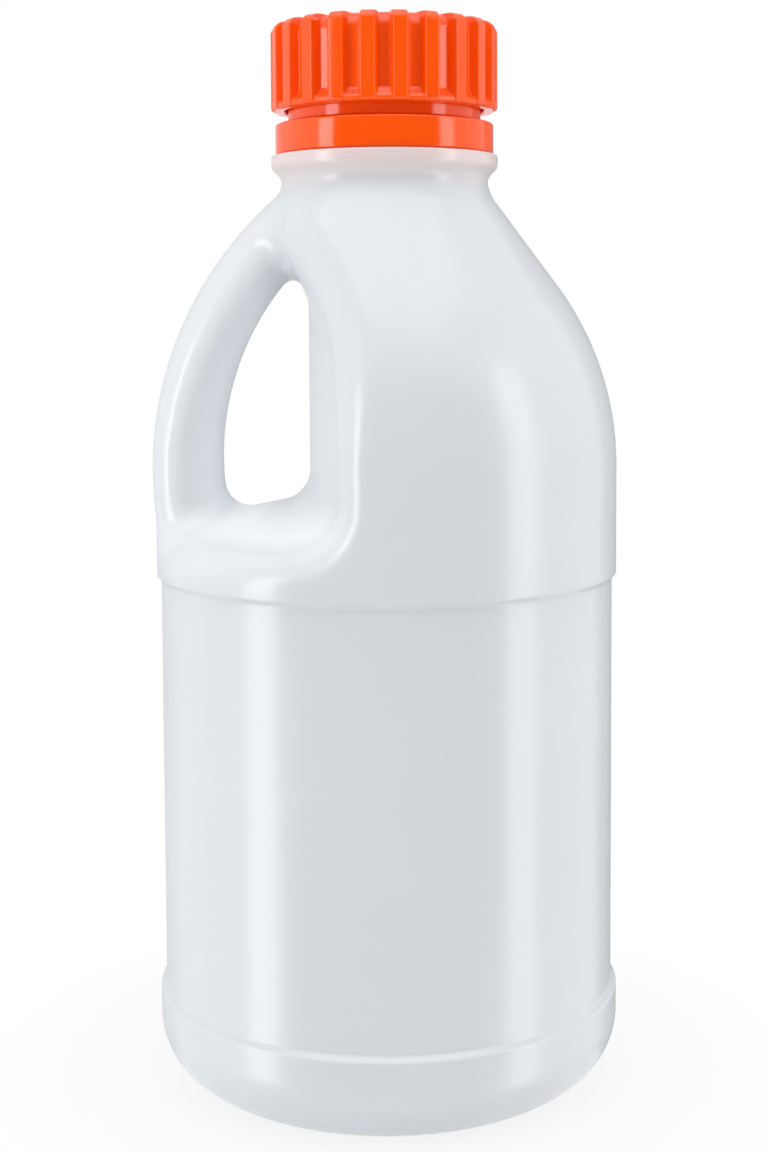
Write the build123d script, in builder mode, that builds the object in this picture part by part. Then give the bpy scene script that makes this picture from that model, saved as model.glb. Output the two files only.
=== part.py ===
# Blown jug of about 1.8 litres with a hollow through handle, a ribbed screw cap, a tamper band and a liner.
# Millimetres. Z is up, the origin is the middle of the standing ring, and the handle points to -X.
from build123d import *
from math import cos, radians, sin, sqrt, tan
import os

os.makedirs("parts", exist_ok=True)

# Walls and clearances
wall = 1.2
neck_wall = 1.9
seat_gap = 0.3
touch = 0.01
quarter_pull = (sqrt(2) - 1) * 4 / 3

# Base and label panel
base_ring_radius = 58.6
heel_radius = 16.0
standing_width = 5.6
push_up = 5.0
dome_crown = 1.2
pinch_reach = 26.0
pinch_width = 1.2
pinch_height = 0.7
base_ring_height = 23.2
base_ledge_rise = 3.4
label_depth = 1.4
label_height = 99.4
label_ledge_rise = 2.0
ledge_round = 0.8

# Bulge and shoulder
bulge_inset = 0.3
bulge_height = 27.0
shoulder_arc = 76.0
shoulder_angle = 36.5
neck_round = 5.0

# Outer line of the handle, an arc a little fuller than the shoulder
handle_swell = 0.8
handle_widest_lift = 26.0
handle_tuck = 0.11

# Handle eye, seen from the front, and the grip that crosses it
grip_depth = 17.8
grip_half_width = 13.0
grip_centre_x = 27.5
grip_centre_lift = 29.0
eye_width = 21.8
eye_draft = 9.5
eye_corner = 8.0
eye_crown = 6.0
eye_floor_angle = 11.2
eye_roof_angle = 43.0
grip_root_round = 7.0
grip_top_round = 5.0
mouth_round = 6.0
loft_levels = 9

# Neck finish
neck_column = 4.7
ring_overhang = 0.7
ring_reach = 2.3
ring_thickness = 4.1
ring_bevel = 1.2
collar_step = 2.1
collar_drop = 0.2
bead_reach = 2.8
bead_height = 3.2
thread_root_radius = 20.3
finish_height = 28.8

# Room for the screw thread between the neck and the cap
thread_depth = 1.3
thread_clearance = 0.4

# Tamper band
band_wall = 1.5
band_play = 0.7
band_headroom = 0.7
band_bevel = 0.5
hook_height = 2.4
hook_slack = 0.7

# Screw cap
skirt_wall = 1.5
shell_gap = 1.8
shell_wall = 1.6
rib_count = 22
groove_depth = 1.5
groove_mouth = 4.5
groove_floor = 2.9
rib_round = 0.35
cap_edge_round = 2.2
cap_foot_height = 2.6
cap_foot_step = 0.7
waist_height = 1.9
top_plate = 1.8
top_web = 4.4
gate_radius = 2.5
gate_depth = 0.5

# Liner
liner_thickness = 1.2
liner_side_gap = 0.6

# Radii that follow from the sizes above, from the thread outwards
collar_radius = thread_root_radius + collar_step
bead_radius = collar_radius + bead_reach
band_bore = bead_radius + band_play
band_radius = band_bore + band_wall
ring_radius = band_radius + ring_overhang
neck_radius = ring_radius - ring_reach
cap_bore = thread_root_radius + thread_depth + thread_clearance
waist_radius = cap_bore + skirt_wall
shell_bore = waist_radius + shell_gap
groove_radius = shell_bore + shell_wall
cap_radius = groove_radius + groove_depth

# Radii of the blown form, and the eye's inner lines seen from the front
heel_centre = base_ring_radius - heel_radius
standing_radius = heel_centre - standing_width
label_radius = base_ring_radius - label_depth
bulge_radius = base_ring_radius - bulge_inset
handle_reach = bulge_radius + handle_swell
grip_inner_radius = grip_centre_x + handle_reach - grip_depth
eye_wall = handle_reach - grip_depth - eye_width

# Heights of the blown form, from the base up
label_bottom = base_ring_height + base_ledge_rise
label_top = label_bottom + label_height
bulge_bottom = label_top + label_ledge_rise
loft_bottom = bulge_bottom + 2 * ledge_round
handle_widest = bulge_bottom + handle_widest_lift
grip_centre_z = bulge_bottom + grip_centre_lift
shoulder_bottom = bulge_bottom + bulge_height
shoulder_slope = tan(radians(shoulder_angle))
arc_end_height = shoulder_bottom + shoulder_arc * sin(radians(shoulder_angle))
arc_end_radius = bulge_radius - shoulder_arc * (1 - cos(radians(shoulder_angle)))
neck_bottom = arc_end_height + (arc_end_radius - neck_radius) / shoulder_slope
handle_rise = neck_bottom - handle_widest
handle_run = handle_reach - neck_radius + handle_tuck
handle_arc = (handle_rise**2 + handle_run**2) / (2 * handle_run)

# Heights of the neck finish, the band, the liner and the cap
ring_bottom = neck_bottom + neck_column
ring_top = ring_bottom + ring_thickness
band_bottom = ring_top + seat_gap
bead_bottom = band_bottom + hook_height + hook_slack
bead_top = bead_bottom + bead_height
band_top = bead_top + band_headroom + band_wall
collar_top = band_top - collar_drop
rim_height = ring_top + finish_height
liner_bottom = rim_height + seat_gap
liner_top = liner_bottom + liner_thickness
skirt_bottom = band_top + seat_gap
rib_bottom = skirt_bottom + waist_height
cap_ceiling = liner_top + seat_gap
cap_top = cap_ceiling + top_plate


def shoulder_radius(height):
    """Radius of the round shoulder: straight, then an arc, then a cone up to the neck."""
    if height <= shoulder_bottom:
        return bulge_radius
    if height <= arc_end_height:
        return bulge_radius - shoulder_arc + sqrt(shoulder_arc**2 - (height - shoulder_bottom) ** 2)
    return arc_end_radius - (height - arc_end_height) * shoulder_slope


def handle_radius(height):
    """Reach of the handle side, which is never less than the shoulder's."""
    arc_reach = handle_reach - handle_arc + sqrt(handle_arc**2 - (height - handle_widest) ** 2)
    return max(arc_reach, shoulder_radius(height))


def eye_pocket(inset):
    """The front half of the space round the grip, its walls tapered away from the middle plane."""
    reach_out = 3 * bulge_radius
    centre = Vector(grip_centre_x, 0, grip_centre_z)
    floor_slope = radians(eye_floor_angle)
    roof_slope = radians(eye_roof_angle)
    draft = radians(eye_draft)
    sides = {
        "floor": (centre, Vector(-sin(floor_slope), 0, cos(floor_slope))),
        "roof": (centre, Vector(-sin(roof_slope), 0, -cos(roof_slope))),
        "wall": (Vector(-eye_wall, 0, 0), Vector(-1, 0, 0)),
    }
    half_width = grip_half_width - inset
    flank_x = grip_centre_x - grip_inner_radius - grip_half_width

    def wall_corners(space):
        slanted = space.edges().filter_by(lambda edge: abs((edge % 0.5).Y) > 0.5)
        return slanted.sort_by(Axis.X)[-2:].sort_by(Axis.Z)

    def meets_grip(edge):
        middle = edge @ 0.5
        return -half_width - touch < middle.Y < -touch and edge.geom_type != GeomType.CIRCLE

    with BuildPart() as pocket:
        with Locations(centre):
            Box(2 * reach_out, reach_out, 2 * reach_out, align=(Align.CENTER, Align.MAX, Align.CENTER))
        for point, inward in sides.values():
            tilted = inward * cos(draft) - Vector(0, sin(draft), 0)
            split(bisect_by=Plane(point - inward * inset, z_dir=tilted), keep=Keep.TOP)
        fillet(wall_corners(pocket)[0], eye_corner + inset)
        fillet(wall_corners(pocket)[-1], eye_crown + inset)
        with BuildSketch(Plane.XY.offset(grip_centre_z)):
            with Locations((flank_x, 0)):
                Circle(half_width)
                Rectangle(2 * reach_out, 2 * half_width, align=(Align.MAX, Align.CENTER))
        revolve(axis=Axis(centre, (0, 1, 0)), mode=Mode.SUBTRACT)
        root_edges = pocket.edges().filter_by(meets_grip)
        fillet(root_edges.filter_by(lambda edge: (edge @ 0.5).Z < grip_centre_z), grip_root_round + inset)
        root_edges = pocket.edges().filter_by(meets_grip)
        fillet(root_edges.filter_by(lambda edge: (edge @ 0.5).Z > grip_centre_z), grip_top_round + inset)
    return pocket.part


def body_form(inset):
    """The blown form from the base to the neck, set in by a wall for the hollow inside."""
    front_pocket = eye_pocket(inset)
    heel_pull = (heel_radius - inset) * quarter_pull
    with BuildPart() as form:
        with BuildSketch(Plane.XZ) as section:
            with BuildLine():
                dome = SagittaArc((0, push_up + inset), (standing_radius, inset), dome_crown)
                Line(dome @ 1, (heel_centre, inset))
                Bezier(
                    (heel_centre, inset),
                    (heel_centre + heel_pull, inset),
                    (base_ring_radius - inset, heel_radius - heel_pull),
                    (base_ring_radius - inset, heel_radius),
                )
                Polyline(
                    (base_ring_radius - inset, heel_radius),
                    (base_ring_radius - inset, base_ring_height),
                    (label_radius - inset, label_bottom),
                    (label_radius - inset, label_top),
                    (bulge_radius - inset, bulge_bottom),
                    (bulge_radius - inset, loft_bottom),
                    (0, loft_bottom),
                    (0, push_up + inset),
                )
            make_face()
            if not inset:
                ledge_span = (base_ring_height - touch, bulge_bottom + touch)
                fillet(section.vertices().filter_by_position(Axis.Y, *ledge_span), ledge_round)
        revolve(axis=Axis.Z)
        for level in range(loft_levels + 1):
            height = loft_bottom + (neck_bottom - loft_bottom) * level / loft_levels
            right = shoulder_radius(height) - inset
            left = handle_radius(height) - inset
            with BuildSketch(Plane.XY.offset(height)):
                with Locations(((right - left) / 2, 0)):
                    Ellipse((right + left) / 2, right)
        loft()
        add(front_pocket, mode=Mode.SUBTRACT)
        add(front_pocket.mirror(Plane.XZ), mode=Mode.SUBTRACT)
        shoulder = form.faces().filter_by(GeomType.BSPLINE).sort_by(SortBy.AREA)[-1]
        fillet(shoulder.inner_wires().edges(), mouth_round - inset)
    return form.part


# Jug body: the blown form, the neck finish on top of it, and the hollow inside both
collar_bore = collar_radius - neck_wall
mouth_bore = thread_root_radius - neck_wall

with BuildPart() as pinch_line:
    with BuildSketch(Plane.XZ):
        with BuildLine():
            lowered = SagittaArc((0, push_up - pinch_height), (standing_radius, -pinch_height), dome_crown)
            Polyline(lowered @ 1, (standing_radius, push_up), (0, push_up), lowered @ 0)
        make_face()
    revolve(axis=Axis.Z)
    Box(2 * pinch_reach, pinch_width, 4 * push_up, mode=Mode.INTERSECT)

with BuildPart() as jug_body:
    add(body_form(0))
    with BuildSketch(Plane.XZ) as finish:
        with BuildLine():
            Polyline(
                (0, neck_bottom),
                (neck_radius, neck_bottom),
                (neck_radius, ring_bottom),
                (ring_radius, ring_bottom),
                (ring_radius, ring_top),
                (collar_radius, ring_top),
                (collar_radius, bead_bottom),
                (bead_radius, bead_bottom),
                (collar_radius, bead_top),
                (collar_radius, collar_top),
                (thread_root_radius, collar_top),
                (thread_root_radius, rim_height),
                (0, rim_height),
                close=True,
            )
        make_face()
        chamfer(finish.vertices().group_by(Axis.X)[-1], ring_bevel)
    revolve(axis=Axis.Z)
    neck_root = jug_body.edges().filter_by_position(Axis.Z, neck_bottom - touch, neck_bottom + touch)
    fillet(neck_root, neck_round)
    add(pinch_line.part)
    add(body_form(wall), mode=Mode.SUBTRACT)
    with BuildSketch(Plane.XZ):
        Polygon(
            (0, neck_bottom),
            (neck_radius - wall, neck_bottom),
            (neck_radius - wall, ring_bottom),
            (collar_bore, ring_top),
            (collar_bore, collar_top - neck_wall),
            (mouth_bore, collar_top + collar_bore - mouth_bore),
            (mouth_bore, rim_height),
            (0, rim_height),
            align=None,
        )
    revolve(axis=Axis.Z, mode=Mode.SUBTRACT)
jug_body.part.label = "jug_body"
export_step(jug_body.part, "parts/jug_body.step")

# Tamper band: a loose ring that hooks under the neck bead
hook_radius = collar_radius + seat_gap

with BuildPart() as tamper_band:
    with BuildSketch(Plane.XZ) as ring:
        Polygon(
            (hook_radius, band_bottom + hook_height / 2),
            (hook_radius + hook_height / 2, band_bottom),
            (band_radius, band_bottom),
            (band_radius, band_top),
            (hook_radius, band_top),
            (hook_radius, band_top - band_wall),
            (band_bore, band_top - band_wall),
            (band_bore, band_bottom + hook_height),
            (hook_radius, band_bottom + hook_height),
            align=None,
        )
        chamfer(ring.vertices().group_by(Axis.X)[-1], band_bevel)
    revolve(axis=Axis.Z)
tamper_band.part.label = "tamper_band"
export_step(tamper_band.part, "parts/tamper_band.step")

# Cap liner: a foam wad between the rim and the cap's top
with BuildPart() as sealing_liner:
    with Locations((0, 0, liner_bottom)):
        Cylinder(cap_bore - liner_side_gap, liner_thickness, align=(Align.CENTER, Align.CENTER, Align.MIN))
sealing_liner.part.label = "sealing_liner"
export_step(sealing_liner.part, "parts/sealing_liner.step")

# Screw cap: a ribbed outer shell round a threaded skirt, joined by the top plate
with BuildPart() as screw_cap:
    with BuildSketch(Plane.XY.offset(rib_bottom)) as ribs:
        Circle(cap_radius)
        with PolarLocations(cap_radius, rib_count, start_angle=-90):
            Polygon(
                (groove_depth, groove_mouth - groove_floor / 2),
                (-groove_depth, groove_floor / 2),
                (-groove_depth, -groove_floor / 2),
                (groove_depth, groove_floor / 2 - groove_mouth),
                align=None,
                mode=Mode.SUBTRACT,
            )
        fillet(ribs.vertices(), rib_round)
    extrude(amount=cap_top - rib_bottom)
    with Locations((0, 0, rib_bottom)):
        Cylinder(
            groove_radius + cap_foot_step, cap_foot_height, align=(Align.CENTER, Align.CENTER, Align.MIN)
        )
    with BuildSketch(Plane.XZ):
        with Locations((cap_radius - cap_edge_round, cap_top - cap_edge_round)):
            Polygon(
                (0, cap_edge_round),
                (cap_edge_round * cos(radians(45)), cap_edge_round * sin(radians(45))),
                (cap_edge_round, 0),
                (2 * cap_edge_round, 0),
                (2 * cap_edge_round, 2 * cap_edge_round),
                (0, 2 * cap_edge_round),
                align=None,
            )
    revolve(axis=Axis.Z, mode=Mode.SUBTRACT)
    with BuildSketch(Plane.XZ):
        with Locations((waist_radius, rib_bottom)):
            Rectangle(shell_gap, cap_top - top_web - rib_bottom, align=(Align.MIN, Align.MIN))
    revolve(axis=Axis.Z, mode=Mode.SUBTRACT)
    with Locations((0, 0, skirt_bottom)):
        Cylinder(waist_radius, cap_ceiling - skirt_bottom, align=(Align.CENTER, Align.CENTER, Align.MIN))
        Cylinder(
            cap_bore,
            cap_ceiling - skirt_bottom,
            align=(Align.CENTER, Align.CENTER, Align.MIN),
            mode=Mode.SUBTRACT,
        )
    with Locations((0, 0, cap_top)):
        Cylinder(
            gate_radius, gate_depth, align=(Align.CENTER, Align.CENTER, Align.MAX), mode=Mode.SUBTRACT
        )
screw_cap.part.label = "screw_cap"
export_step(screw_cap.part, "parts/screw_cap.step")
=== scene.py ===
# %% [markdown]
# # A blown jug with a through handle and a ribbed screw cap
# The real jug is one blow-moulded shell of white polyethylene, about 1.8 litres. Its cap is a second
# moulding of orange polypropylene with a band that stays on the neck, and a foam disc seals the mouth.
# The CAD frame holds the four solids and how they move. This script gives them their looks.

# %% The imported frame
import math

import bpy
import numpy as np
from mathutils import Matrix, Vector


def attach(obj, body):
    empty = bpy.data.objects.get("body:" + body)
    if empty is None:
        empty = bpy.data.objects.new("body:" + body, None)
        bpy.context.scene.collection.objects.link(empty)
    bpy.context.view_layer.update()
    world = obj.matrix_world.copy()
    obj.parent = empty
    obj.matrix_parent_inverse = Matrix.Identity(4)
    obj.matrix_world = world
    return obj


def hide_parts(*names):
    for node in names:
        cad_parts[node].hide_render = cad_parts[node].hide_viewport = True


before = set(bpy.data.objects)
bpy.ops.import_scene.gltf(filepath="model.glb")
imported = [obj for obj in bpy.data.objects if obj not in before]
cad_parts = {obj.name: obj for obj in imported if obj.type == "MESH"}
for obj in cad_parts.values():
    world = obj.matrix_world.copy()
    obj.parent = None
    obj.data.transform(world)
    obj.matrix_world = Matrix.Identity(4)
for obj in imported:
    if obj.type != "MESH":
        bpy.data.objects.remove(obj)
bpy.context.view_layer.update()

# %% [markdown]
# ## Shader arithmetic
# Each finish is built from a few masks and noises. A small class lets them be written as sums and
# products, and its one method adds every other kind of node.

# %% Shader class
class Signal:
    """A value in a material. Arithmetic on it adds Math nodes."""

    def __init__(self, tree, socket):
        self.tree = tree
        self.socket = socket

    def node(self, kind, inputs, output=0, **settings):
        """Adds a node: its settings first, then the values or links of its sockets."""
        made = self.tree.nodes.new(kind)
        for name, value in settings.items():
            setattr(made, name, value)
        for key, value in inputs.items():
            if isinstance(value, Signal):
                self.tree.links.new(value.socket, made.inputs[key])
            else:
                made.inputs[key].default_value = value
        return Signal(self.tree, made.outputs[output])

    def math(self, operation, *values):
        return self.node("ShaderNodeMath", dict(enumerate(values)), operation=operation)

    def __add__(self, other):
        return self.math("ADD", self, other)

    def __radd__(self, other):
        return self.math("ADD", other, self)

    def __sub__(self, other):
        return self.math("SUBTRACT", self, other)

    def __rsub__(self, other):
        return self.math("SUBTRACT", other, self)

    def __mul__(self, other):
        return self.math("MULTIPLY", self, other)

    def __rmul__(self, other):
        return self.math("MULTIPLY", other, self)

    def size(self):
        return self.math("ABSOLUTE", self)

    def ramp(self, low, high):
        """0 below low, 1 above high, smooth between."""
        values = {"Value": self, "From Min": low, "From Max": high}
        return self.node("ShaderNodeMapRange", values, interpolation_type="SMOOTHSTEP")


def new_material(name):
    """A material with its shader, and the object's coordinates in metres."""
    material = bpy.data.materials.new(name)
    material.use_nodes = True
    tree = material.node_tree
    place = Signal(tree, tree.nodes.new("ShaderNodeTexCoord").outputs["Object"])
    return material, tree.nodes["Principled BSDF"], place


def noise(place, scale, detail=2.0):
    """Noise around 0 with that many lumps to the metre."""
    return place.node("ShaderNodeTexNoise", {"Vector": place, "Scale": scale, "Detail": detail}) - 0.5


def blend(share, low, high):
    """A colour between two colours. The low one may come from other nodes."""
    start = low if isinstance(low, Signal) else (*low, 1)
    return share.node("ShaderNodeMix", {0: share, 6: start, 7: (*high, 1)}, output=2, data_type="RGBA")


def link(shader, socket, signal):
    signal.tree.links.new(signal.socket, shader.inputs[socket])


# %% [markdown]
# ## Jug finish
# Natural white polyethylene is faintly cool and a little waxy: broad soft highlights, a skin with very
# slight ripples from the blown wall, and a fine parting line where the mould's two halves meet, at y = 0.
# Some light comes through the thin wall. Scattering under the skin made the jug far too dark, so that light
# is painted into the base colour instead: the recess is painted paler with its depth, and the neck gets a
# painted orange glow for the light it takes from the orange band.

# %% Jug material
jug_plastic, shader, place = new_material("jug_plastic")
axes = place.node("ShaderNodeSeparateXYZ", {0: place})
side, up = (Signal(axes.tree, axes.socket.node.outputs[axis]) for axis in "YZ")
cloud = noise(place, 22)
skin = noise(place, 900, detail=3)
ripple = noise(place, 60, detail=1)
parting = 1 - side.size().ramp(0.00008, 0.0003)
shade = 0.5 + cloud * 1.2
plain = blend(shade, (0.64, 0.672, 0.705), (0.66, 0.692, 0.725))
deep = place.node("ShaderNodeAttribute", {}, output="Fac", attribute_name="recess_depth")
# Painted light: the recess is painted paler the deeper it lies.
recess_painted_light = blend(deep, plain, (0.90, 0.915, 0.94))
# Painted light: an orange glow painted on the neck for light from the band.
band_glow_painted = up.ramp(0.221, 0.234) * 0.9
link(shader, "Base Color", blend(band_glow_painted, recess_painted_light, (0.76, 0.60, 0.585)))
link(shader, "Roughness", 0.22 + cloud * 0.06 + skin * 0.02)
height = skin * 0.000001 + ripple * 0.00001 + parting * 0.00005
bump = place.node("ShaderNodeBump", {"Strength": 0.6, "Distance": 1.0, "Height": height})
link(shader, "Normal", bump)
shader.inputs["IOR"].default_value = 1.5
shader.inputs["Specular IOR Level"].default_value = 0.5
print("jug_plastic nodes", len(jug_plastic.node_tree.nodes))

# %% [markdown]
# ## Cap finish
# The cap and band are injection-moulded polypropylene, coloured right through. They came off polished
# steel, so the sheen is crisper than the jug's, with fine draw marks up the ribs. One flat orange would
# look painted, so a cloud shifts the shade a little, and noise stretched along Z gives the draw marks.

# %% Cap material
cap_plastic, shader, place = new_material("cap_plastic")
stretched = place.node("ShaderNodeMapping", {"Vector": place, "Scale": (1, 1, 0.06)})
draw = noise(stretched, 1400, detail=2)
cloud = noise(place, 70)
shade = 0.5 + cloud * 1.4
link(shader, "Base Color", blend(shade, (0.96, 0.084, 0.0006), (1.0, 0.094, 0.0009)))
link(shader, "Roughness", 0.13 + draw * 0.05 + cloud * 0.04)
bump = place.node("ShaderNodeBump", {"Strength": 0.5, "Distance": 1.0, "Height": draw * 0.000004})
link(shader, "Normal", bump)
shader.inputs["IOR"].default_value = 1.49
print("cap_plastic nodes", len(cap_plastic.node_tree.nodes))

# %% [markdown]
# ## Liner finish
# The liner is a punched disc of white foamed polyethylene. Its cells leave a fine dimpled, matt skin. It
# is a plain disc under the cap, so the solid itself gets the finish, and cells in the bump are enough.

# %% Liner material on the CAD node
liner_foam, shader, place = new_material("liner_foam")
cells = place.node("ShaderNodeTexVoronoi", {"Vector": place, "Scale": 1600.0})
cloud = noise(place, 120)
link(shader, "Base Color", blend(0.5 + cloud, (0.80, 0.80, 0.78), (0.88, 0.88, 0.86)))
link(shader, "Roughness", 0.72 + cloud * 0.2)
bump = place.node("ShaderNodeBump", {"Strength": 0.5, "Distance": 1.0, "Height": cells * 0.00008})
link(shader, "Normal", bump)
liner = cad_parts["sealing_liner"]
liner.data.materials.clear()
liner.data.materials.append(liner_foam)
print("liner_foam nodes", len(liner_foam.node_tree.nodes))


# %% [markdown]
# ## Making pieces
# Every piece is a closed mesh in the frame's own metres. Corners are worked out in millimetres. Faces
# are turned outward, smooth ones share normals, and edges over 40 degrees stay crisp.

# %% Piece helper
MM = 0.001
crisp_edge = math.radians(40)


def place_piece(name, mesh, body):
    """Smooths a mesh but for its crisp edges, and rides it on a CAD body."""
    mesh.shade_smooth()
    mesh.set_sharp_from_angle(angle=crisp_edge)
    made = bpy.data.objects.new(name, mesh)
    bpy.context.scene.collection.objects.link(made)
    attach(made, body)
    print(name, len(mesh.vertices), "corners", len(mesh.polygons), "faces")
    return made


def piece(name, corners, faces, material, body):
    """A closed mesh from corners in millimetres."""
    mesh = bpy.data.meshes.new(name)
    mesh.from_pydata((np.asarray(corners) * MM).tolist(), [], [list(map(int, face)) for face in faces])
    mesh.validate()
    mesh.materials.append(material)
    return place_piece(name, mesh, body)


# %% [markdown]
# Moulded plastic has no sharp corners, and its small rounds are what catch the light. A Bevel modifier
# could make them, but with one width for all. Here each corner of an outline has its own radius, and the
# rows of corners that the outline leaves on its way are joined by quads.

# %% Rounded lines and nets of faces
def rounded(points, radii, steps=4):
    """A line of points in a plane, with each inner corner turned into an arc of its radius."""
    points = [np.array(point, float) for point in points]
    line = [points[0]]
    for before, corner, after, radius in zip(points, points[1:], points[2:], radii):
        a = (before - corner) / np.linalg.norm(before - corner)
        b = (after - corner) / np.linalg.norm(after - corner)
        half = math.acos(np.clip(a @ b, -1, 1)) / 2
        centre = corner + (a + b) / np.linalg.norm(a + b) * radius / math.sin(half)
        start = corner + a * radius / math.tan(half) - centre
        end = corner + b * radius / math.tan(half) - centre
        sweep = math.pi - 2 * half
        for t in np.linspace(0, 1, steps + 1):
            arm = math.sin((1 - t) * sweep) * start + math.sin(t * sweep) * end
            line.append(centre + arm / math.sin(sweep))
    line.append(points[-1])
    return np.array(line)


def net_faces(rows, wide, around=False, closed=True):
    """Quads between rows of corners. Around joins the last row to the first, closed a row's two ends."""
    faces = []
    for i in range(rows if around else rows - 1):
        here, beyond = i * wide, (i + 1) % rows * wide
        for j in range(wide if closed else wide - 1):
            following = (j + 1) % wide
            faces.append([here + j, beyond + j, beyond + following, here + following])
    return faces


bracket = rounded([(0, 0), (1, 0), (1, 1), (0, 1)], [0.2, 0.2])
print("a bracket with two round corners has", len(bracket), "points")

# %% [markdown]
# ## Jug form
# The blown wall has no sharp edge below the neck: the base ring, label panel, shoulder, handle and the
# drafted recess round it all run into each other. That is written here as one distance field in
# millimetres, where rounded joins are exact and their radius may change along an edge, as it does
# round the mouth of the handle's recess, which is soft at the top and firmer below.

# %% Jug sizes
base_ring_radius, heel_radius, standing_radius = 58.59, 16.0, 37.0
label_radius, bulge_radius = 57.2, 58.3
base_ledge, label_ledge = (22.5, 24.2), (126.8, 128.4)
push_up, dome_crown = 5.0, 1.2
shoulder_bottom, shoulder_arc, shoulder_angle = 155.0, 76.0, math.radians(36.5)
loft_bottom, neck_bottom = 129.6, 223.98
handle_reach, handle_widest = 59.07, 154.0
grip_x, grip_z, grip_inner, grip_half = 27.5, 157.0, 68.8, 13.0
eye_wall, eye_draft = 19.5, math.radians(9.5)
floor_angle, roof_angle = math.radians(11.2), math.radians(43.0)
neck_radius, neck_round = 25.8, 2.0
ring_bottom, ring_face, ring_top, ring_radius = 227.3, 229.7, 232.78, 28.5
collar_radius, collar_top = 22.4, 241.38
bead_radius, bead_bottom, bead_top = 25.2, 236.18, 239.38
root_radius, rim = 20.3, 261.58
handle_rise, handle_run = neck_bottom - handle_widest, handle_reach - neck_radius
handle_arc = (handle_rise**2 + handle_run**2) / (2 * handle_run)
arc_rise = shoulder_arc * math.sin(shoulder_angle)
print("handle arc", round(handle_arc, 2), "mm, shoulder arc rises", round(arc_rise, 2), "mm")

# %% [markdown]
# Two forms are joined or cut by the smaller or larger of their distances. With hypot in place of that
# choice near the edge, the join gets a true round of any radius, which a bevel on a finished mesh could
# not give where the radius changes.

# %% Rounded joins
def both(a, b, radius):
    """The overlap of two forms, its edge rounded by a radius."""
    edge = np.hypot(np.maximum(a + radius, 0), np.maximum(b + radius, 0))
    return np.minimum(-radius, np.maximum(a, b)) + edge


def either(a, b, radius):
    """The union of two forms, its inner edge rounded by a radius."""
    return -both(-a, -b, radius)


def step_between(z, span):
    """0 below a span, 1 above it, smooth between."""
    t = np.clip((z - span[0]) / (span[1] - span[0]), 0, 1)
    return t * t * (3 - 2 * t)


print("1 mm inside two walls that share a round the field says", round(float(both(-1.0, -1.0, 2.0)), 3))

# %% [markdown]
# The lower body is round. Its heel curls in to a standing ring, the middle of the base is pushed up so
# that the jug stands on the ring alone, and two small ledges guard the label panel from scuffing. A
# lathed outline would do as well, but the field joins it to the handle's recess without a seam.

# %% Lower body
far_inside = -1e3


def dome_height(rho):
    """Height of the push-up over the table."""
    t = np.clip(rho / standing_radius, 0, 1)
    return push_up * (1 - t) + dome_crown * 4 * t * (1 - t)


def lower_body(rho, z):
    """Base ring with its heel, push-up and the label panel."""
    out, up = rho - (base_ring_radius - heel_radius), heel_radius - z
    step = (label_radius - base_ring_radius) * step_between(z, base_ledge)
    step = step + (bulge_radius - label_radius) * step_between(z, label_ledge)
    inward = np.minimum(np.maximum(out, up), 0)
    side = np.hypot(np.maximum(out, 0), np.maximum(up, 0)) + inward - heel_radius - step
    return np.maximum(side, np.where(rho < standing_radius, dome_height(rho) - z, far_inside))


print("push-up", round(float(dome_height(0.0)), 2), "mm")

# %% [markdown]
# Above the label the section becomes an oval: the right side follows the round shoulder, the left one the
# handle's long arc. Both come together again at the neck. A loft between a few ovals gives waves, while
# an oval worked out for every height does not.

# %% Shoulder
shoulder_least = 8


def shoulder_line(z):
    """Radius of the round shoulder: straight, an arc, then a cone."""
    lift = np.clip(z - shoulder_bottom, 0, arc_rise)
    arc = bulge_radius - shoulder_arc + np.sqrt(shoulder_arc**2 - lift**2)
    return arc - np.maximum(z - shoulder_bottom - arc_rise, 0) * math.tan(shoulder_angle)


def upper_body(x, y, z):
    """Shoulder of ovals that reach further on the handle side."""
    right = np.maximum(shoulder_line(z), shoulder_least)
    lift = np.minimum(np.abs(z - handle_widest), handle_arc - 1)
    left = np.maximum(handle_reach - handle_arc + np.sqrt(handle_arc**2 - lift**2), right)
    tilt = np.clip((z - shoulder_bottom) / arc_rise, 0, 1) * shoulder_angle
    oval = np.hypot((x - (right - left) / 2) / ((right + left) / 2), y / right)
    return (oval - 1) * right * np.cos(tilt)


print("shoulder radius at the neck", round(float(shoulder_line(neck_bottom)), 2), "mm")

# %% [markdown]
# The handle is not stuck on. The mould presses the wall in from both sides until it meets in the middle,
# and leaves a tube as the grip. So the recess is a drafted space between a floor, a roof and an inner
# wall, less the round grip, and it is cut from the body with a soft mouth. Its rounds grow outward.

# %% Handle recess
eye_corner, eye_crown, eye_rounds_at = (6.0, 9.0), (4.5, 14.0), (3, 20)
root_round, root_round_at = (7.0, 5.0), (157, 190)
mouth_round, mouth_round_at = (6.5, 12.0), (160, 200)


def recess(x, y, z):
    """The drafted space round the grip, on both sides of the middle plane."""
    out = np.sqrt(y * y + 0.5) * math.sin(eye_draft)
    dx, dz, lean = x - grip_x, z - grip_z, math.cos(eye_draft)
    floor = (math.sin(floor_angle) * dx - math.cos(floor_angle) * dz) * lean - out
    roof = (math.sin(roof_angle) * dx + math.cos(roof_angle) * dz) * lean - out
    corner = np.interp(np.abs(y), eye_rounds_at, eye_corner)
    crown = np.interp(np.abs(y), eye_rounds_at, eye_crown)
    space = both(both(floor, (x + eye_wall) * lean - out, corner), roof, crown)
    inward = np.minimum(np.hypot(dx, dz) - grip_inner - grip_half, 0)
    grip = np.hypot(inward, y) - grip_half
    return both(space, -grip, np.interp(z, root_round_at, root_round))


def body_form(x, y, z):
    """The body as if there were no recess round the grip."""
    return np.where(z < loft_bottom, lower_body(np.hypot(x, y), z), upper_body(x, y, z))


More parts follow.
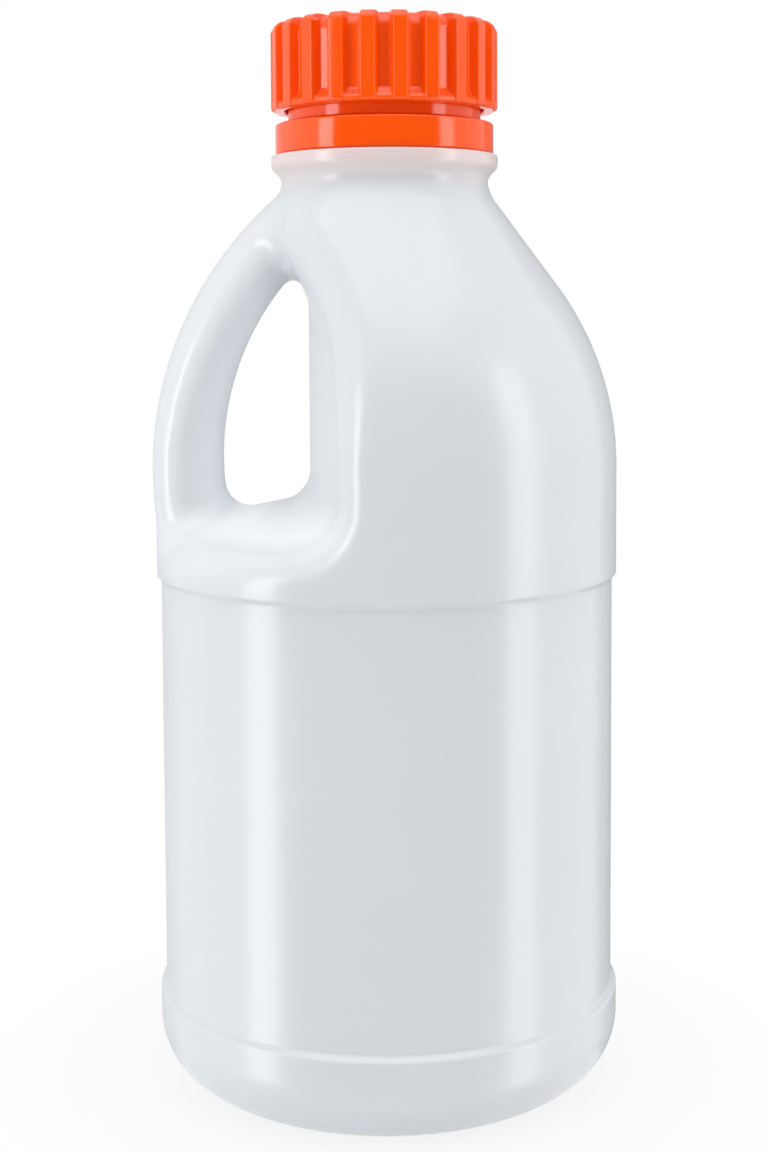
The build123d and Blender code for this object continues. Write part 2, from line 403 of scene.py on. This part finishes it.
def blown_form(x, y, z):
    """The whole blown form, without the neck finish."""
    return both(body_form(x, y, z), -recess(x, y, z), np.interp(z, mouth_round_at, mouth_round))


print("the eye is open at its middle:", bool(blown_form(-32.0, 0.0, 165.0) > 0))

# %% [markdown]
# The neck carries a ring that stops the band, a collar with a bead that the band hooks under, and the
# straight finish for the thread. The inside is hollow, in a wall made thicker than the real one so that
# the grid need not be as fine as a wall of a millimetre would ask.

# %% Neck and hollow
ring_edge, ring_root, lip_round, bead_lean = 0.5, 1.2, 0.5, 0.75
column_bottom, throat_bottom, look_wall = 205, 212, 3.2
bore_radii = [22.5, 22.5, 20.5, 20.5, 18.4]


def ring_form(rho, z):
    """The neck ring: an upright face, its underside sloped back to the neck."""
    slope = (rho - ring_radius + ring_face - z) * math.sqrt(0.5)
    return both(both(rho - ring_radius, z - ring_top, ring_edge), slope, ring_edge)


def finish_form(rho, z):
    """Collar, bead and the straight finish that carries the thread."""
    collar = np.maximum(rho - collar_radius, z - collar_top)
    taper = collar_radius + (bead_radius - collar_radius) * (bead_top - z) / (bead_top - bead_bottom)
    bead = np.maximum(np.maximum((rho - taper) * bead_lean, bead_bottom - z), z - bead_top)
    mouth = both(rho - root_radius, z - rim, lip_round)
    return np.maximum(np.minimum.reduce([collar, bead, mouth]), neck_bottom - z)


def hollow(rho, z, form):
    """The space inside. It is set well in from the blown wall, where nothing shows."""
    heights = [0, ring_bottom, ring_top, collar_top - 1.9, collar_top + 2.1]
    bore = np.interp(z, heights, bore_radii)
    blown = np.maximum(form + look_wall, z - neck_bottom)
    return np.minimum(blown, np.maximum(rho - bore, throat_bottom - z))


def jug_form(x, y, z):
    """The whole jug: below 0 in the plastic, above 0 in the air."""
    rho, form = np.hypot(x, y), blown_form(x, y, z)
    column = np.maximum(rho - neck_radius, np.maximum(z - ring_face, column_bottom - z))
    neck = either(form, either(column, ring_form(rho, z), ring_root), neck_round)
    outside = np.minimum(neck, finish_form(rho, z))
    return np.maximum(outside, -hollow(rho, z, form))


print("1 mm off the label panel the field says", round(float(jug_form(0.0, -label_radius - 1, 80.0)), 3))

# %% [markdown]
# ## Jug mesh
# The surface is found on a grid of turn, reach and height round the jug's axis, one corner for each
# cell it crosses, and each corner is then moved onto the exact surface. The grid is finer on the
# handle's side and at the ledges and neck, and coarse on the plain panel.

# %% Corners where the surface crosses
def crossing_points(values, turn, reach, height, cells):
    """The middle of the places where the surface crosses each cell's edges."""
    total, hits = np.zeros((len(cells[0]), 3)), np.zeros(len(cells[0]))
    for axis in range(3):
        u_axis, v_axis = [other for other in range(3) if other != axis]
        for u in (0, 1):
            for v in (0, 1):
                start = [np.array(c) for c in cells]
                start[u_axis] = start[u_axis] + u
                start[v_axis] = start[v_axis] + v
                end = list(start)
                end[axis] = end[axis] + 1
                a, b = values[tuple(start)], values[tuple(end)]
                cross = (a < 0) != (b < 0)
                t = np.where(cross, a / np.where(cross, a - b, 1), 0)
                ends = zip((turn, reach, height), start, end)
                angle, radius, lift = (grid[s] + t * (grid[e] - grid[s]) for grid, s, e in ends)
                spot = np.stack([radius * np.cos(angle), radius * np.sin(angle), lift], 1)
                total += np.where(cross[:, None], spot, 0)
                hits += cross
    return total / hits[:, None]


def settle(field, corners, rounds=4, probe=0.02):
    """Moves corners along the field's slope onto its zero."""
    for _ in range(rounds):
        value = field(*corners.T)
        slope = [(field(*(corners + d).T) - field(*(corners - d).T)) / (2 * probe) for d in np.eye(3) * probe]
        slope = np.stack(slope, 1)
        push = np.clip(value / np.maximum((slope**2).sum(1), 0.05), -1, 1)
        corners = corners - push[:, None] * slope
    return corners


# %% [markdown]
# A face stands across each edge of the grid that goes from plastic to air, between the four cells round
# that edge. The edges along turn, reach and height are taken one after the other. On the axis all cells
# of a height meet, so one face with many corners closes the surface there.

# %% Faces between the cells
def wound(quads, inside):
    """Quads turned so that their faces look out of the solid."""
    return np.where(inside[:, None], quads[:, ::-1], quads)


def surface(field, turn, reach, height):
    """Corners and faces where field is 0, on a grid that closes on itself in turn."""
    grid = np.meshgrid(turn, reach, height, indexing="ij")
    values = field(grid[1] * np.cos(grid[0]), grid[1] * np.sin(grid[0]), grid[2])
    values = np.concatenate([values, values[:1]])
    turn = np.append(turn, turn[0] + 2 * math.pi)
    solid = values < 0
    count = sum(
        solid[a : solid.shape[0] - 1 + a, b : solid.shape[1] - 1 + b, c : solid.shape[2] - 1 + c].astype(int)
        for a in (0, 1)
        for b in (0, 1)
        for c in (0, 1)
    )
    active = (count > 0) & (count < 8)
    number = np.full(active.shape, -1)
    number[active] = np.arange(active.sum())
    corners = crossing_points(values, turn, reach, height, np.nonzero(active))
    solid = solid[:-1]
    faces = []
    i, j, k = np.nonzero((solid != np.roll(solid, -1, 0))[:, 1:-1, 1:-1])
    quads = np.stack([number[i, j, k], number[i, j + 1, k], number[i, j + 1, k + 1], number[i, j, k + 1]], 1)
    faces += wound(quads, solid[i, j + 1, k + 1]).tolist()
    i, j, k = np.nonzero((solid[:, :-1] != solid[:, 1:])[:, :, 1:-1])
    quads = np.stack([number[i - 1, j, k], number[i - 1, j, k + 1], number[i, j, k + 1], number[i, j, k]], 1)
    faces += wound(quads, solid[i, j, k + 1]).tolist()
    i, j, k = np.nonzero((solid[:, :, :-1] != solid[:, :, 1:])[:, 1:-1])
    quads = np.stack([number[i - 1, j, k], number[i, j, k], number[i, j + 1, k], number[i - 1, j + 1, k]], 1)
    faces += wound(quads, solid[i, j + 1, k]).tolist()
    for k in np.nonzero(solid[0, 0, :-1] != solid[0, 0, 1:])[0]:
        rim_corners = number[:, 0, k].tolist()
        faces.append(rim_corners if solid[0, 0, k] else rim_corners[::-1])
    return corners, faces


# %% Jug shell
def levels(*spans):
    """Values over joined spans, each with its own step."""
    return np.concatenate([np.linspace(a, b, round((b - a) / step), endpoint=False) for a, b, step in spans])


quarter, fine_turn, plain_turn = math.pi / 2, math.radians(1.25), math.radians(2.5)
turn = levels(
    (0, quarter, plain_turn), (quarter, 3 * quarter, fine_turn), (3 * quarter, 4 * quarter, plain_turn)
)
reach = levels((0, 14, 2.0), (14, 60.3, 0.75))
height = levels(
    (-0.6, 8, 0.6), (8, 21.6, 1.3), (21.6, 25.2, 0.2), (25.2, 125.2, 4),
    (125.2, 130, 0.25), (130, 224, 1.15), (224, 242, 0.5), (242, 263, 0.8),
)
corners, faces = surface(jug_form, turn, reach, height)
corners = settle(jug_form, corners)
jug_shell = piece("jug_shell", corners, faces, jug_plastic, "jug")
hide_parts("jug_body")

# %% [markdown]
# Half of those faces are on the hidden inside of the wall, and many lie under the base. A Decimate
# modifier thins those alone: a vertex group holds the corners that it may take away. What is left then
# gets one number for each corner, its depth in the recess, which the jug's finish reads to paint light there.

# %% Thin the hidden faces
kept_share, under_base, base_reach = 0.53, 2, 43
rho, form = np.hypot(corners[:, 0], corners[:, 1]), blown_form(*corners.T)
hidden = np.abs(hollow(rho, corners[:, 2], form)) < 0.01
hidden |= (corners[:, 2] < under_base) & (rho < base_reach)
jug_shell.vertex_groups.new(name="hidden").add(np.nonzero(hidden)[0].tolist(), 1.0, "REPLACE")
thin = jug_shell.modifiers.new("thin", "DECIMATE")
thin.ratio, thin.vertex_group = kept_share, "hidden"


def evaluated_mesh(made, name):
    """The plain mesh that an object's modifiers give."""
    bpy.context.view_layer.update()
    evaluated = made.evaluated_get(bpy.context.evaluated_depsgraph_get())
    mesh = bpy.data.meshes.new_from_object(evaluated)
    mesh.name = name
    return mesh


thinned = evaluated_mesh(jug_shell, "jug_shell")
jug_shell.modifiers.clear()
jug_shell.vertex_groups.clear()
jug_shell.data = thinned
print("jug_shell thinned to", sum(len(face.vertices) - 2 for face in thinned.polygons), "triangles")

# %% Mark the recess for its painted light
full_depth, grip_side, shelf_end = 14, (22, 34), (140, 150)
spots = np.empty(len(thinned.vertices) * 3)
thinned.vertices.foreach_get("co", spots)
x, y, z = spots.reshape(-1, 3).T / MM
depth = np.clip(-body_form(x, y, z) / full_depth, 0, 1)
depth = depth * np.maximum(step_between(-x, grip_side), 1 - step_between(z, shelf_end))
thinned.attributes.new("recess_depth", "FLOAT", "POINT").data.foreach_set("value", depth)
print("recess_depth up to", round(float(depth.max()), 2))

# %% [markdown]
# ## Pinch line
# The mould's halves shut on the soft tube under the base and weld it. The weld is left as a low ridge
# across the push-up, along the parting plane. It is a bar swept along the dome, rounded underneath and
# sunk a little into the wall.

# %% Base pinch
pinch_reach, pinch_width, pinch_height, sunk, stations = 26.0, 1.2, 0.7, 0.6, 48
pinch_edge, run_out = 0.35, 1.5
half = pinch_width / 2
across = [(-half, sunk), (-half, -pinch_height), (half, -pinch_height), (half, sunk)]
across = rounded(across, [pinch_edge, pinch_edge])
wide = len(across)
rows = []
for x in np.linspace(-pinch_reach, pinch_reach, stations + 1):
    end = min(1, (pinch_reach - abs(x)) / run_out + 0.05)
    lift = np.where(across[:, 1] < 0, across[:, 1] * end, across[:, 1])
    rows.append(np.stack([np.full(wide, x), across[:, 0], dome_height(abs(x)) + lift], 1))
faces = [face[:1] + face[:0:-1] for face in net_faces(stations + 1, wide)]
faces += [list(range(wide))[::-1], [stations * wide + j for j in range(wide)]]
piece("base_pinch", np.concatenate(rows), faces, jug_plastic, "jug")

# %% [markdown]
# ## Screw threads
# A right-handed thread of one and a half turns joins cap and neck, so the cap lifts 7.5 mm as it turns.
# Each thread is a ridge of blunt section, swept along a helix and faded out at both ends. A Screw modifier
# makes the helix too, but not the faded ends, so the sections are placed one by one.

# %% Thread ridges
def thread(name, root, crest, start, material, body):
    """A ridge from a root radius to a crest radius, starting at a height."""
    pitch, turns, foot, top, run_out, steps = 5.0, 1.5, 2.4, 1.2, 0.08, 150
    section = np.array([[0, -foot / 2], [1, -top / 2], [1, top / 2], [0, foot / 2]])
    rows = []
    for t in np.linspace(0, turns, steps + 1):
        fade = min(1, t / run_out, (turns - t) / run_out)
        radius = root + (crest - root) * section[:, 0] * max(fade, 0.02)
        angle = 2 * math.pi * t
        lift = start + pitch * t + section[:, 1] * (0.35 + 0.65 * fade)
        rows.append(np.stack([radius * math.cos(angle), radius * math.sin(angle), lift], 1))
    faces = [
        [4 * i + a, 4 * i + b, 4 * i + 4 + b, 4 * i + 4 + a][:: 1 if crest > root else -1]
        for i in range(steps)
        for a, b in ((1, 0), (2, 1), (3, 2), (0, 3))
    ]
    ends = [[0, 1, 2, 3], [4 * steps + 3, 4 * steps + 2, 4 * steps + 1, 4 * steps]]
    faces += [end[:: 1 if crest > root else -1] for end in ends]
    return piece(name, np.concatenate(rows), faces, material, body)


thread_bottom = rim - 10.1
thread("neck_thread", root_radius - 0.3, root_radius + 1.3, thread_bottom, jug_plastic, "jug")
cap_root, cap_crest, thread_slack = 22.3, 20.7, 2.015
thread("cap_thread", cap_root, cap_crest, thread_bottom - thread_slack, cap_plastic, "cap")

# %% [markdown]
# ## Tamper band
# The band is moulded with the cap and tears off it at the first turn. It stays under the neck bead,
# held by a hook inside. Its edges are softly rounded, which is where it catches the light. Every section
# of it is the same, so one outline is turned round the axis, as on a lathe.

# %% Band
band_bottom, band_top, band_radius, band_bore, hook_radius = 232.84, 240.6, 27.4, 25.9, 22.7
outline = [
    (26.5, band_bottom), (band_radius, band_bottom), (band_radius, band_top), (hook_radius, band_top),
    (hook_radius, band_top - 1.5), (band_bore, band_top - 1.5), (band_bore, band_bottom + 2.4),
    (hook_radius, band_bottom + 2.4), (hook_radius, band_bottom + 1.2), (hook_radius + 1.2, band_bottom),
    (26.5, band_bottom),
]
section = rounded(outline, [0.7, 0.6, 0.2, 0.2, 0.3, 0.3, 0.2, 0.2, 0.2], steps=5)[:-1]
count, around = len(section), 180
spin = np.linspace(0, 2 * math.pi, around, endpoint=False)
heights = np.tile(section[:, 1], (around, 1))
wheel = [np.outer(np.cos(spin), section[:, 0]), np.outer(np.sin(spin), section[:, 0]), heights]
corners = np.stack(wheel, 2).reshape(-1, 3)
faces = net_faces(around, count, around=True)
band = piece("band_ring", corners, faces, cap_plastic, "jug")
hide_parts("tamper_band")

# %% [markdown]
# ## Cap
# The cap has 22 grip ribs round an outer shell, a foot where the grooves end, a rounded top edge, and
# a plain skirt inside with room for the thread. One rib pitch is modelled, from the gate mark in the
# middle of the top to the underside of the top plate, and repeated round the axis, so all ribs are alike.

# %% Plan of one rib pitch
rib_count, cap_radius, groove_radius, cap_top, rib_bottom = 22, 28.4, 26.1, 265.18, 243.78
rib_round, groove_round, foot_radius, foot_bottom, foot_top = 2.4, 4.0, 28.1, 244.4, 247.4
half_pitch = math.pi / rib_count
crest = [(cap_radius * math.cos(a), cap_radius * math.sin(a)) for a in np.linspace(0.098, half_pitch, 3)]
plan = rounded([(groove_radius, 0), (groove_radius, 1.45), (28.31, 2.25), *crest], [0.45, 0.55, 0.0], steps=4)
plan = plan[np.r_[True, np.linalg.norm(np.diff(plan, axis=0), axis=1) > 1e-6]]
plan = np.concatenate([plan[:0:-1] * [1, -1], plan])
plan_radius, plan_angle = np.hypot(*plan.T), np.arctan2(plan[:, 1], plan[:, 0]) - math.pi / 2
wide = len(plan)
print("plan of one pitch", wide, "points over", round(360 / rib_count, 2), "degrees")

# %% [markdown]
# The outside runs in rows from the middle of the top, over its edge and down the ribs. The edge turns on
# a wider round in the grooves than on the ribs, which scallops the top. Low down the grooves slope out to
# a foot, where the ribs end.

# %% Rows of the outside
def round_row(radius, z):
    """A row at one radius and height."""
    return np.full(wide, radius), np.full(wide, z)


def rib_row(rib, groove):
    """A row of the ribbed outside, from its place on the ribs and its place in the grooves."""
    share = (plan_radius - groove_radius) / (cap_radius - groove_radius)
    return groove[0] + (rib[0] - groove[0]) * share, groove[1] + (rib[1] - groove[1]) * share


rows = [(0.0, 264.68), (1.9, 264.68), (2.2, 264.75), (2.35, 265.0), (2.6, 265.16), (2.9, cap_top)]
rows += [(r, cap_top) for r in (6, 12, 18, 21.5)]
rows = [round_row(r, z) for r, z in rows]
for a in np.radians(np.linspace(90, 0, 11)):
    lift, out = math.sin(a) - 1, math.cos(a) - 1
    rib = (cap_radius + rib_round * out, cap_top + rib_round * lift)
    rows.append(rib_row(rib, (groove_radius + groove_round * out, cap_top + groove_round * lift)))
for z in [258, 255, 251, 248.4, 247.6, 247.2, 246.8, 246.4, 246.0, 245.6, 245.2, 244.9, 244.6]:
    foot = foot_radius + (groove_radius - foot_radius) * step_between(z, (foot_bottom, foot_top))
    rows.append((np.maximum(plan_radius, foot), np.full(wide, z)))
last = rows[-1][0]
for inset, z in [(0.06, 244.4), (0.25, 244.1), (0.5, 243.9), (0.85, rib_bottom)]:
    rows.append((last - inset, np.full(wide, z)))
print(len(rows), "rows outside")

# %% [markdown]
# Under the ribs the rows go up between the shell and the skirt, down the skirt's outside, which shows as
# the waist over the band, and up its bore to the underside of the top plate, where the liner lies.

# %% Rows of the inside, and the pitch
shell_bore, shell_ceiling, waist, skirt_bottom = 25.1, 259.98, 24.2, 240.88
skirt_mouth, skirt_bore, plate_bottom = 22.7, 22.0, 263.38
inside = [
    (25.4, rib_bottom), (shell_bore, 244.1), (shell_bore, 259.6), (24.9, shell_ceiling),
    (24.4, shell_ceiling), (waist, 259.6), (waist, 241.2), (23.9, skirt_bottom), (22.95, skirt_bottom),
    (skirt_mouth, 241.2), (skirt_mouth, 242.0), (skirt_bore, 242.8), (skirt_bore, 263.1),
    (21.7, plate_bottom), (0, plate_bottom),
]
rows += [round_row(r, z) for r, z in inside]
corners = [np.stack([r * np.cos(plan_angle), r * np.sin(plan_angle), z], 1) for r, z in rows]
corners = np.concatenate(corners)
faces = net_faces(len(rows), wide, closed=False)
pitch_mesh = bpy.data.meshes.new("cap_pitch")
pitch_mesh.from_pydata((corners * MM).tolist(), [], faces)
pitch_mesh.materials.append(cap_plastic)
pitch = bpy.data.objects.new("cap_pitch", pitch_mesh)
bpy.context.scene.collection.objects.link(pitch)
print("one rib pitch", len(rows), "rows of", wide)

# %% [markdown]
# Geometry Nodes repeat the pitch: one point for each rib, an instance on each point turned by its share
# of a full turn, all made real and welded at the seams. The count and the weld are inputs of the tree,
# so that a cap with other ribs needs no new nodes.

# %% Node tree that repeats round the axis
def repeat_tree(material):
    """A node group that repeats a pitch round Z, welds the seams and sets the material."""
    tree = bpy.data.node_groups.new("repeat_round_axis", "GeometryNodeTree")
    face = tree.interface
    face.new_socket("Geometry", in_out="INPUT", socket_type="NodeSocketGeometry")
    face.new_socket("Rib Count", in_out="INPUT", socket_type="NodeSocketInt")
    face.new_socket("Weld Distance", in_out="INPUT", socket_type="NodeSocketFloat")
    face.new_socket("Geometry", in_out="OUTPUT", socket_type="NodeSocketGeometry")
    kinds = {
        "inputs": "NodeGroupInput", "line": "GeometryNodeMeshLine", "number": "GeometryNodeInputIndex",
        "share": "ShaderNodeMath", "turn": "ShaderNodeMath", "spin": "ShaderNodeCombineXYZ",
        "copies": "GeometryNodeInstanceOnPoints", "solid": "GeometryNodeRealizeInstances",
        "weld": "GeometryNodeMergeByDistance", "paint": "GeometryNodeSetMaterial",
        "outputs": "NodeGroupOutput",
    }
    made = {key: tree.nodes.new(kind) for key, kind in kinds.items()}
    made["line"].inputs["Offset"].default_value = (0, 0, 0)
    made["share"].operation = "DIVIDE"
    made["turn"].operation = "MULTIPLY"
    made["turn"].inputs[1].default_value = 2 * math.pi
    made["paint"].inputs["Material"].default_value = material
    joins = [
        ("inputs", "Rib Count", "line", "Count"), ("number", "Index", "share", 0),
        ("inputs", "Rib Count", "share", 1), ("share", 0, "turn", 0), ("turn", 0, "spin", "Z"),
        ("line", "Mesh", "copies", "Points"),
        ("inputs", "Geometry", "copies", "Instance"), ("spin", "Vector", "copies", "Rotation"),
        ("copies", "Instances", "solid", "Geometry"), ("solid", "Geometry", "weld", "Geometry"),
        ("inputs", "Weld Distance", "weld", "Distance"), ("weld", "Geometry", "paint", "Geometry"),
        ("paint", "Geometry", "outputs", "Geometry"),
    ]
    for source, out, target, into in joins:
        tree.links.new(made[source].outputs[out], made[target].inputs[into])
    return tree


# %% Cap from the repeated pitch
repeat = pitch.modifiers.new("repeat", "NODES")
repeat.node_group = repeat_tree(cap_plastic)
given = {"Rib Count": rib_count, "Weld Distance": 0.02 * MM}
for socket in repeat.node_group.interface.items_tree:
    if socket.in_out == "INPUT" and socket.name in given:
        repeat[socket.identifier] = given[socket.name]
cap_mesh = evaluated_mesh(pitch, "cap_shell")
bpy.data.objects.remove(pitch)
cap_shell = place_piece("cap_shell", cap_mesh, "cap")
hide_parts("screw_cap")

# %% [markdown]
# ## Studio
# The jug stands on a plain pale floor in front of white. The floor takes a soft shadow by the base and
# turns to the same white as the backdrop further out. The white is only what the camera, mirrors and
# glass see. The light on the jug stays at a plain level, so its colours render about as written.

# %% Rays that see white
def sees_white(place):
    """1 for rays from the camera and for those in a mirror or glass, 0 for light on the object."""
    kinds = ("Is Camera Ray", "Is Glossy Ray", "Is Transmission Ray")
    camera_ray, glossy, through = (place.node("ShaderNodeLightPath", {}, output=kind) for kind in kinds)
    return place.math("MAXIMUM", camera_ray, place.math("MAXIMUM", glossy, through))


# %% Floor
near_share, near, far, floor_half = 0.86, 0.055, 0.12, 6
floor_mesh = bpy.data.meshes.new("floor")
floor_ends = [(-floor_half, -floor_half, 0), (floor_half, -floor_half, 0), (floor_half, floor_half, 0)]
floor_ends.append((-floor_half, floor_half, 0))
floor_mesh.from_pydata(floor_ends, [], [[0, 1, 2, 3]])
floor = bpy.data.objects.new("floor", floor_mesh)
bpy.context.scene.collection.objects.link(floor)
floor_paint, shader, place = new_material("floor_paint")
tree = floor_paint.node_tree
link(shader, "Base Color", blend(0.5 + noise(place, 6), (0.70, 0.70, 0.70), (0.72, 0.72, 0.72)))
shader.inputs["Roughness"].default_value = 0.9
distance = place.node("ShaderNodeVectorMath", {0: place}, output="Value", operation="LENGTH")
glow = place.node("ShaderNodeEmission", {"Color": (1, 1, 1, 1), "Strength": 1.0})
share = (near_share + distance.ramp(near, far) * (1 - near_share)) * sees_white(place)
mixed = place.node("ShaderNodeMixShader", {0: share, 1: Signal(tree, shader.outputs[0]), 2: glow})
tree.links.new(mixed.socket, tree.nodes["Material Output"].inputs["Surface"])
floor_mesh.materials.append(floor_paint)
floor.visible_glossy = False
floor.visible_shadow = False
print("floor with", len(tree.nodes), "nodes")

# %% [markdown]
# Light comes from an even white room and two tall softboxes, front left and front right, whose long
# reflections run down the band, the neck ring and the jug's sides. A box overhead lightens the shoulder
# and the ledges. One behind lights the back, and is kept out of mirrors, where it would show as a stripe.

# %% World
room_level = 0.76
world = bpy.data.worlds.new("studio_white")
bpy.context.scene.world = world
world.use_nodes = True
tree = world.node_tree
room = tree.nodes["Background"]
room.inputs["Strength"].default_value = 1.0
level = room_level + sees_white(Signal(tree, None)) * (1 - room_level)
white = level.node("ShaderNodeCombineColor", {0: level, 1: level, 2: level})
tree.links.new(white.socket, room.inputs["Color"])
print("room level", room_level)


# %% Softboxes
def softbox(name, bearing, distance, width, tall, middle, power):
    """A light at a bearing in degrees from the front, turned to the jug's axis."""
    light = bpy.data.lights.new(name, "AREA")
    light.shape, light.size, light.size_y, light.energy = "RECTANGLE", width, tall, power
    made = bpy.data.objects.new(name, light)
    a = math.radians(bearing)
    made.location = (distance * math.sin(a), -distance * math.cos(a), middle)
    made.rotation_euler = (math.radians(90), 0, a)
    bpy.context.scene.collection.objects.link(made)
    print(name, "radiance", round(power / (math.pi * width * tall), 2))
    return made


softbox("softbox_left", -62.5, 1.0, 0.30, 1.1, 0.05, 4.35)
softbox("softbox_right", 67.5, 1.0, 0.30, 1.5, 0.05, 4.3)
back_box = softbox("softbox_back", 180, 1.3, 1.4, 1.0, 0.4, 4.0)
back_box.visible_glossy = False
top_box = softbox("softbox_top", 0, 0.35, 1.4, 1.0, 1.3, 6.2)
top_box.rotation_euler = (0, 0, 0)

# %% [markdown]
# The room is darker behind the camera, so the jug's front is greyer than its sides. A pale flag behind
# it on the left and a darker one on the right tone its edges against the white and the walls of the
# eye. These cards are out of the camera's sight. In a mirror the front card is darker than for light
# on the object, so the front keeps its clean colour, and the flags are there for mirrors alone.

# %% Cards round the jug
def card(name, bearing, distance, left, right, lit, mirrored):
    """An upright card turned to the jug's axis, with a grey for light on it and one for mirrors."""
    paint, shader, place = new_material(name)
    ray = place.node("ShaderNodeLightPath", {}, output="Is Glossy Ray")
    link(shader, "Base Color", blend(ray, (lit, lit, lit), (mirrored, mirrored, mirrored)))
    shader.inputs["Roughness"].default_value = 0.95
    mesh = bpy.data.meshes.new(name)
    turn = Matrix.Rotation(math.radians(bearing), 3, "Z")
    low, high = -0.6, 0.9
    ends = [(-left, low), (right, low), (right, high), (-left, high)]
    mesh.from_pydata([turn @ Vector((x, -distance, z)) for x, z in ends], [], [[0, 1, 2, 3]])
    mesh.materials.append(paint)
    made = bpy.data.objects.new(name, mesh)
    bpy.context.scene.collection.objects.link(made)
    made.visible_camera = False
    print(name, "bearing", bearing)
    return made


card("card_front", 0, 0.95, 1.4, 1.7, 0.5, 0.04)
for name, bearing, grey in (("flag_left", -150, 0.75), ("flag_right", 150, 0.3)):
    flag = card(name, bearing, 1.1, 0.42, 0.42, grey, grey)
    flag.visible_diffuse = False
    flag.visible_shadow = False

# %% [markdown]
# The picture was taken from just above the handle, close in, with the camera tipped a little down. The
# lens is shifted too, because the jug fills the frame from top to bottom.

# %% Camera
camera_data = bpy.data.cameras.new("camera")
camera_data.lens = 56.56
camera_data.shift_x, camera_data.shift_y = -0.0017, -0.121
camera = bpy.data.objects.new("camera", camera_data)
camera.location = (0, -0.460, 0.1942)
aim = Matrix.Rotation(math.radians(86), 3, "X") @ Matrix.Rotation(math.radians(-0.3), 3, "Z")
camera.rotation_euler = aim.to_euler()
bpy.context.scene.collection.objects.link(camera)
bpy.context.scene.camera = camera
bpy.context.scene.view_settings.view_transform = "Standard"
print("camera", camera_data.lens, "mm lens at", [round(value, 3) for value in camera.location])
